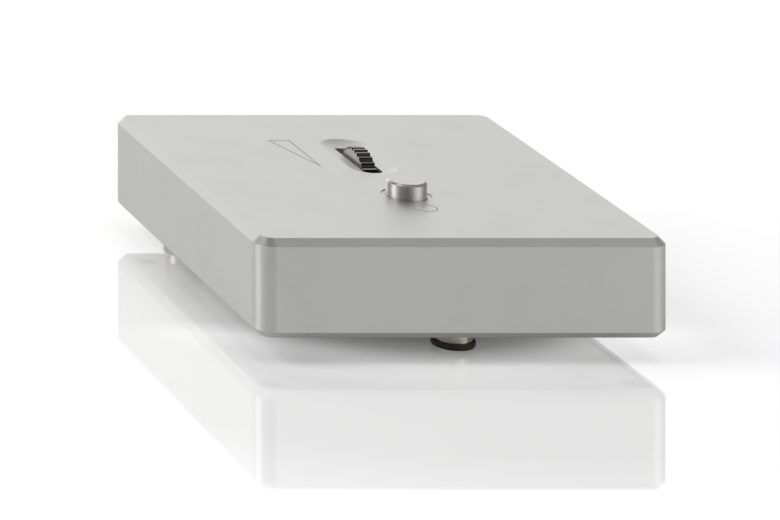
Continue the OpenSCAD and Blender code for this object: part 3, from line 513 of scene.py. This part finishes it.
# Tin plate on copper: pale, bright and a little cloudy.
tinned = bare_metal("tinned_copper", "#B7B8B9", "#CFD0D0", 1800.0, 0.26)

# Epoxy body and tinned tab in one node: the tab is what lies low and behind the body.
regulator_low, regulator_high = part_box("voltage_regulator")
tab_length, tab_thickness = 2.41 * MM, 0.62 * MM
tab_start = regulator_high.y - tab_length
tab_top = regulator_low.z + tab_thickness
regulator_skin, tree, place = new_material("epoxy_with_tinned_tab")
where = add(tree, "ShaderNodeSeparateXYZ", {"Vector": place})
behind = add(tree, "ShaderNodeMath", {0: where.outputs["Y"], 1: tab_start}, operation="GREATER_THAN")
low_down = add(tree, "ShaderNodeMath", {0: where.outputs["Z"], 1: tab_top}, operation="LESS_THAN")
is_tab = add(tree, "ShaderNodeMath", {0: behind.outputs[0], 1: low_down.outputs[0]}, operation="MULTIPLY")
cloud = add(tree, "ShaderNodeTexNoise", {"Vector": place, "Scale": 2200.0, "Detail": 2.0})
dark = two_tones(tree, cloud.outputs["Fac"], colour("#151516"), colour("#1F1F20"), 0.3, 0.7)
pale = two_tones(tree, cloud.outputs["Fac"], colour("#B7B8B9"), colour("#CFD0D0"), 0.3, 0.7)
tint = add(tree, "ShaderNodeMix", {"Factor": is_tab.outputs[0], "A": dark, "B": pale}, data_type="RGBA")
gloss = add(tree, "ShaderNodeMapRange", {"Value": is_tab.outputs[0], "To Min": 0.55, "To Max": 0.26})
skin = add(tree, "ShaderNodeBsdfPrincipled", {
    "Base Color": tint.outputs["Result"], "Roughness": gloss.outputs[0], "Metallic": is_tab.outputs[0]})
finish_surface(tree, skin)
dress(regulator_skin, "voltage_regulator")

# One leg is a strip swept along a bent path; four make a row, two rows a chip, six chips the set.
board_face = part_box("circuit_board")[1].z
chips_low, chips_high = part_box("amplifier_chips")
leg_width, leg_thickness, leg_pitch = 0.4 * MM, 0.16 * MM, 1.27 * MM
legs_in_row, chip_columns, chip_rows = 4, 2, 3
chip_body_x, chip_body_y = 5.0 * MM, 4.0 * MM
# Out from the chip's side and up from the board, in millimetres: out of the body, down, and
# flat on its pad.
leg_bends = ((-0.1, 0.7), (0.25, 0.7), (0.38, 0.62), (0.5, 0.16), (0.62, 0.09), (1.0, 0.09))
half_row = (legs_in_row - 1) / 2
legs_tree, sizes_in = node_tree("chip_legs_tree", {
    "Leg width": "NodeSocketFloat", "Leg thickness": "NodeSocketFloat", "Leg pitch": "NodeSocketFloat",
    "Column spacing": "NodeSocketFloat", "Row span": "NodeSocketFloat", "Middle": "NodeSocketVector"})
path = add(legs_tree, "GeometryNodeMeshToCurve", {"Mesh": sizes_in["Geometry"]})
section = add(legs_tree, "GeometryNodeCurvePrimitiveQuadrilateral", {
    "Width": sizes_in["Leg width"], "Height": sizes_in["Leg thickness"]})
strip = add(legs_tree, "GeometryNodeCurveToMesh", {
    "Curve": path.outputs[0], "Profile Curve": section.outputs[0], "Fill Caps": True})
step = add(legs_tree, "ShaderNodeCombineXYZ", {"X": sizes_in["Leg pitch"]})
back = add(legs_tree, "ShaderNodeVectorMath", {0: step.outputs[0], "Scale": -half_row}, operation="SCALE")
leg_places = add(legs_tree, "GeometryNodeMeshLine", {
    "Count": legs_in_row, "Start Location": back.outputs[0], "Offset": step.outputs[0]})
row = add(legs_tree, "GeometryNodeInstanceOnPoints", {
    "Points": leg_places.outputs[0], "Instance": strip.outputs[0]})
# The second row stands in the first one's place, turned half round the chip's middle.
both_sides = add(legs_tree, "GeometryNodeMeshLine", {"Count": 2, "Offset": (0.0, 0.0, 0.0)})
index = add(legs_tree, "GeometryNodeInputIndex")
half_turn = add(legs_tree, "ShaderNodeMath", {0: index.outputs[0], 1: math.pi}, operation="MULTIPLY")
facing_out = add(legs_tree, "ShaderNodeCombineXYZ", {"Z": half_turn.outputs[0]})
both_rows = add(legs_tree, "GeometryNodeInstanceOnPoints", {
    "Points": both_sides.outputs[0], "Instance": row.outputs[0], "Rotation": facing_out.outputs[0]})
grid = add(legs_tree, "GeometryNodeMeshGrid", {
    "Size X": sizes_in["Column spacing"], "Size Y": sizes_in["Row span"],
    "Vertices X": chip_columns, "Vertices Y": chip_rows})
all_chips = add(legs_tree, "GeometryNodeInstanceOnPoints", {
    "Points": grid.outputs[0], "Instance": both_rows.outputs[0]})
placed = add(legs_tree, "GeometryNodeTransform", {
    "Geometry": all_chips.outputs[0], "Translation": sizes_in["Middle"]})
finish_tree(legs_tree, placed.outputs[0], tinned)

leg_points = [(0, chip_body_y / 2 + y * MM, z * MM) for y, z in leg_bends]
leg_path = bpy.data.meshes.new("chip_leg_path")
leg_path.from_pydata(leg_points, [(i, i + 1) for i in range(len(leg_points) - 1)], [])
chip_legs = grow("chip_legs", leg_path, legs_tree, {
    "Leg width": leg_width, "Leg thickness": leg_thickness, "Leg pitch": leg_pitch,
    "Column spacing": chips_high.x - chips_low.x - chip_body_x,
    "Row span": chips_high.y - chips_low.y - chip_body_y,
    "Middle": ((chips_low.x + chips_high.x) / 2, (chips_low.y + chips_high.y) / 2, board_face)})
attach(chip_legs, "case")


# ---------------------------------------------------------------------------
# Capacitors: the electrolytic ones are aluminium cans in a shrunk sleeve, whose lip
# curls over the bare top of each can. The film ones are small boxes dipped in resin.
# Dark blue film down the side, softly shiny; bare rolled aluminium on top.
sleeve, tree, place = new_material("shrunk_sleeve_on_aluminium_can")
facing = add(tree, "ShaderNodeSeparateXYZ", {"Vector": add(tree, "ShaderNodeNewGeometry").outputs["Normal"]})
is_top = add(tree, "ShaderNodeMath", {0: facing.outputs["Z"], 1: 0.9}, operation="GREATER_THAN")
flow = add(tree, "ShaderNodeTexNoise", {"Vector": place, "Scale": 900.0, "Detail": 2.0})
film = two_tones(tree, flow.outputs["Fac"], colour("#152036"), colour("#1B2944"), 0.3, 0.7)
bare = two_tones(tree, flow.outputs["Fac"], colour("#B4B5B6"), colour("#C6C7C8"), 0.3, 0.7)
tint = add(tree, "ShaderNodeMix", {"Factor": is_top.outputs[0], "A": film, "B": bare}, data_type="RGBA")
skin = add(tree, "ShaderNodeBsdfPrincipled", {
    "Base Color": tint.outputs["Result"], "Roughness": 0.27, "Metallic": is_top.outputs[0]})
finish_surface(tree, skin)
dress(sleeve, "electrolytic_capacitors")

# Shrunk plastic film: dark blue, smooth and softly shiny.
shrunk_film = moulded("shrunk_blue_film", "#152036", "#1B2944", 900.0, 0.27)

# A lip is a ring swept round a circle of unit radius and set on each can at that can's size.
lips_tree, sizes_in = node_tree("sleeve_lips_tree", {
    "Lip share": "NodeSocketFloat", "Lip thickness": "NodeSocketFloat"})
circle = add(lips_tree, "GeometryNodeCurvePrimitiveCircle", {
    "Radius": sizes_in["Lip share"], "Resolution": 48})
lip = add(lips_tree, "GeometryNodeCurvePrimitiveCircle", {
    "Radius": sizes_in["Lip thickness"], "Resolution": 8})
ring = add(lips_tree, "GeometryNodeCurveToMesh", {
    "Curve": circle.outputs[0], "Profile Curve": lip.outputs[0]})
can_size = add(lips_tree, "GeometryNodeInputNamedAttribute", {"Name": "can_radius"}, data_type="FLOAT")
lips = add(lips_tree, "GeometryNodeInstanceOnPoints", {
    "Points": sizes_in["Geometry"], "Instance": ring.outputs[0], "Scale": can_size.outputs["Attribute"]})
finish_tree(lips_tree, lips.outputs[0], shrunk_film)

# Each can's middle, radius and height above the board, in millimetres: three large ones in a
# row, and four small ones.
cans = [(x, 7.946, 3.15, 8.0) for x in (-27.0, -19.0, -11.0)]
cans += [(x, y, 2.5, 7.0) for x in (-7.0, 7.0) for y in (-28.948, -7.167)]
can_tops = bpy.data.meshes.new("can_tops")
can_tops.from_pydata([(x * MM, y * MM, board_face + height * MM) for x, y, _, height in cans], [], [])
can_radius = can_tops.attributes.new("can_radius", "FLOAT", "POINT")
can_radius.data.foreach_set("value", [radius * MM for _, _, radius, _ in cans])
# Shares of the can's radius.
lip_share, lip_thickness = 0.94, 0.06
sleeve_lips = grow("sleeve_lips", can_tops, lips_tree, {
    "Lip share": lip_share, "Lip thickness": lip_thickness})
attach(sleeve_lips, "case")

# Epoxy resin, dipped: brick red and shiny, clouded in spots of 1.7 mm.
red_resin = moulded("dipped_red_plastic", "#8C1F17", "#A0281E", 600.0, 0.28)
dress(red_resin, "film_capacitors")


# ---------------------------------------------------------------------------
# Resistors and mute relay: ceramic rods under lacquer in two rows, and a
# sealed box of cream plastic, all soldered to the board.
def set_stops(ramp, stops):
    """Fills a ramp with positions and colours, the first at its start and the last at its end."""
    elements = ramp.color_ramp.elements
    elements[0].position, elements[0].color = stops[0]
    elements[1].position, elements[1].color = stops[-1]
    for position, shade in stops[1:-1]:
        elements.new(position).color = shade


# Lacquered ceramic with colour rings: the two rows of resistors lie 5.78 mm apart, so the
# rings repeat at that distance along Y. Brown, black, red and gold, 0.35 mm wide each.
row_spacing = 5.7785 * MM
row_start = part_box("resistors")[0].y
lacquer, tree, place = new_material("ringed_lacquered_ceramic")
where = add(tree, "ShaderNodeSeparateXYZ", {"Vector": place})
along = add(tree, "ShaderNodeMath", {0: where.outputs["Y"], 1: row_start}, operation="SUBTRACT")
share = add(tree, "ShaderNodeMath", {0: along.outputs[0], 1: row_spacing}, operation="DIVIDE")
turn = add(tree, "ShaderNodeMath", {0: share.outputs[0]}, operation="FRACT")
rings = add(tree, "ShaderNodeValToRGB", {"Fac": turn.outputs[0]})
rings.color_ramp.interpolation = "CONSTANT"
body_blue, brown, black, red, gold_ring = "#A9C3D4", "#5A3418", "#1C1B1B", "#9E2A1E", "#B4924A"
bands = ((0.0, body_blue), (0.087, brown), (0.147, body_blue), (0.191, black), (0.251, body_blue),
         (0.295, red), (0.355, body_blue), (0.45, gold_ring), (0.51, body_blue), (1.0, body_blue))
set_stops(rings, [(position, colour(code)) for position, code in bands])
skin = add(tree, "ShaderNodeBsdfPrincipled", {
    "Base Color": rings.outputs["Color"], "Roughness": 0.33, "IOR": 1.5, "Coat Weight": 0.3})
finish_surface(tree, skin)
dress(lacquer, "resistors")

# Cream plastic, moulded: smooth and softly shiny.
cream = moulded("moulded_cream_plastic", "#D6CBAA", "#DFD5B7", 600.0, 0.32)
dress(cream, "mute_relay")


# ---------------------------------------------------------------------------
# Studio: a polished pale floor that mirrors the case faintly, and soft walls of
# light: a wide bright wall behind, a narrow box at the left and one at the right front.
# The room between them and behind the camera is dark.
floor_half = 3.0
floor_corners = [
    (-floor_half, -floor_half, 0), (floor_half, -floor_half, 0),
    (floor_half, floor_half, 0), (-floor_half, floor_half, 0)]
floor_mesh = bpy.data.meshes.new("studio_floor")
floor_mesh.from_pydata(floor_corners, [], [(0, 1, 2, 3)])
studio_floor = bpy.data.objects.new("studio_floor", floor_mesh)
bpy.context.scene.collection.objects.link(studio_floor)
# White acrylic, polished: it reflects the case faintly and sharply. Its glow for the camera carries a
# painted shadow: dim close to the case, running out into plain white away from it.
acrylic, tree, place = new_material("polished_white_acrylic")
rays = add(tree, "ShaderNodeLightPath")
sheen = add(tree, "ShaderNodeMath", {0: rays.outputs["Is Glossy Ray"], 1: 0.29}, operation="MULTIPLY")
# Painted shade round the case: the glow's level is low within these distances and rises to plain white
# beyond.
fade_start, fade_end = 0.10, 0.35  # in metres from the middle
level_near, level_far = 0.54, 2.6
distance = add(tree, "ShaderNodeVectorMath", {0: place}, operation="LENGTH")
painted_shade_run_out = add(tree, "ShaderNodeMapRange", {
    "Value": distance.outputs["Value"], "From Min": fade_start, "From Max": fade_end,
    "To Min": level_near, "To Max": level_far})
# Painted shadow in front: dimmest under the case, with a painted light band along the case's edge: distance
# and level.
painted_shadow_levels = ((0.033, 0.19), (0.039, 0.42), (0.042, 0.68), (0.046, 1.00), (0.050, 1.08), (0.056, 0.84),
        (0.065, 0.60), (fade_start, level_near), (fade_end, level_far))
outward = add(tree, "ShaderNodeMath", {0: distance.outputs["Value"], 1: fade_end}, operation="DIVIDE")
painted_shadow_ramp = add(tree, "ShaderNodeValToRGB", {"Fac": outward.outputs[0]})
set_stops(painted_shadow_ramp, [(metres / fade_end, (level, level, level, 1)) for metres, level in painted_shadow_levels])
front_from, front_to = -0.022, -0.030  # in metres along Y
spot = add(tree, "ShaderNodeSeparateXYZ", {"Vector": place})
painted_shadow_front = add(tree, "ShaderNodeMapRange", {
    "Value": spot.outputs["Y"], "From Min": front_from, "From Max": front_to})
painted_shadow_fade = add(tree, "ShaderNodeMix", {
    "Factor": painted_shadow_front.outputs[0], "A": painted_shade_run_out.outputs[0], "B": painted_shadow_ramp.outputs[0]}, data_type="FLOAT")
shown = add(tree, "ShaderNodeMath", {
    0: rays.outputs["Is Camera Ray"], 1: painted_shadow_fade.outputs[0], 2: sheen.outputs[0]}, operation="MULTIPLY_ADD")
body = add(tree, "ShaderNodeMix", {
    "Factor": rays.outputs["Is Camera Ray"],
    "A": colour("#B2B2B2"), "B": colour("#BEBEBE")}, data_type="RGBA")
white = add(tree, "ShaderNodeBsdfDiffuse", {"Color": body.outputs["Result"]})
lift = add(tree, "ShaderNodeEmission", {"Color": colour("#BCBCBC"), "Strength": shown.outputs[0]})
pale = add(tree, "ShaderNodeAddShader", {0: white.outputs[0], 1: lift.outputs[0]})
mirror = add(tree, "ShaderNodeBsdfGlossy", {"Color": colour("#FFFFFF"), "Roughness": 0.05})
both = add(tree, "ShaderNodeMixShader", {0: 0.32, 1: pale.outputs[0], 2: mirror.outputs[0]})
finish_surface(tree, both)
floor_mesh.materials.append(acrylic)

world = bpy.data.worlds.new("soft_studio")
bpy.context.scene.world = world
world.use_nodes = True
tree = world.node_tree
tree.nodes.clear()
way = add(tree, "ShaderNodeSeparateXYZ", {"Vector": add(tree, "ShaderNodeTexCoord").outputs["Generated"]})
around = add(tree, "ShaderNodeMath", {0: way.outputs["Y"], 1: way.outputs["X"]}, operation="ARCTAN2")
share = add(tree, "ShaderNodeMapRange", {
    "Value": around.outputs[0], "From Min": -math.pi, "From Max": math.pi})
walls = add(tree, "ShaderNodeValToRGB", {"Fac": share.outputs[0]})
# Shares of a full turn, from the left round by the front, the right and the back, and the
# level of light there.
levels = ((0.00, 1.95), (0.03, 0.95), (0.06, 0.40), (0.10, 0.28), (0.20, 0.17), (0.25, 0.22), (0.29, 0.36),
          (0.33, 0.80), (0.36, 1.25), (0.41, 1.35), (0.44, 1.00), (0.48, 0.48), (0.52, 0.30), (0.60, 0.36),
          (0.63, 0.90), (0.79, 1.52), (0.82, 1.00), (0.85, 0.50), (0.92, 0.38), (0.95, 1.65), (0.975, 2.15),
          (1.00, 1.95))
set_stops(walls, [(position, (level, level, level, 1)) for position, level in levels])
falling = add(tree, "ShaderNodeMapRange", {
    "Value": way.outputs["Z"], "From Min": 0.0, "From Max": 1.0, "To Min": 1.25, "To Max": 0.5})
soft = add(tree, "ShaderNodeBackground", {"Color": walls.outputs["Color"], "Strength": falling.outputs[0]})
clear = add(tree, "ShaderNodeBackground", {"Color": colour("#FFFFFF"), "Strength": 1.0})
seen = add(tree, "ShaderNodeLightPath")
backdrop = add(tree, "ShaderNodeMixShader", {
    0: seen.outputs["Is Camera Ray"], 1: soft.outputs[0], 2: clear.outputs[0]})
add(tree, "ShaderNodeOutputWorld", {"Surface": backdrop.outputs[0]})

# Two softboxes, aimed at the middle, light the floor and the plastics; the metal takes its light
# from the walls alone. Their width in metres, power in watts, and place.
softboxes = (
    ("overhead_softbox", 0.6, 2.8, (0.05, -0.22, 0.8)),
    ("left_softbox", 0.4, 4.0, (-0.55, -0.06, 0.45)))
for name, width, power, stands_at in softboxes:
    softbox = bpy.data.lights.new(name, "AREA")
    softbox.shape = "SQUARE"
    softbox.size = width
    softbox.energy = power
    lamp = bpy.data.objects.new(name, softbox)
    bpy.context.scene.collection.objects.link(lamp)
    lamp.location = stands_at
    lamp.rotation_euler = Vector(stands_at).to_track_quat("Z", "Y").to_euler()
    lamp.visible_camera = False
    lamp.visible_glossy = False

bpy.context.scene.view_settings.view_transform = "Standard"
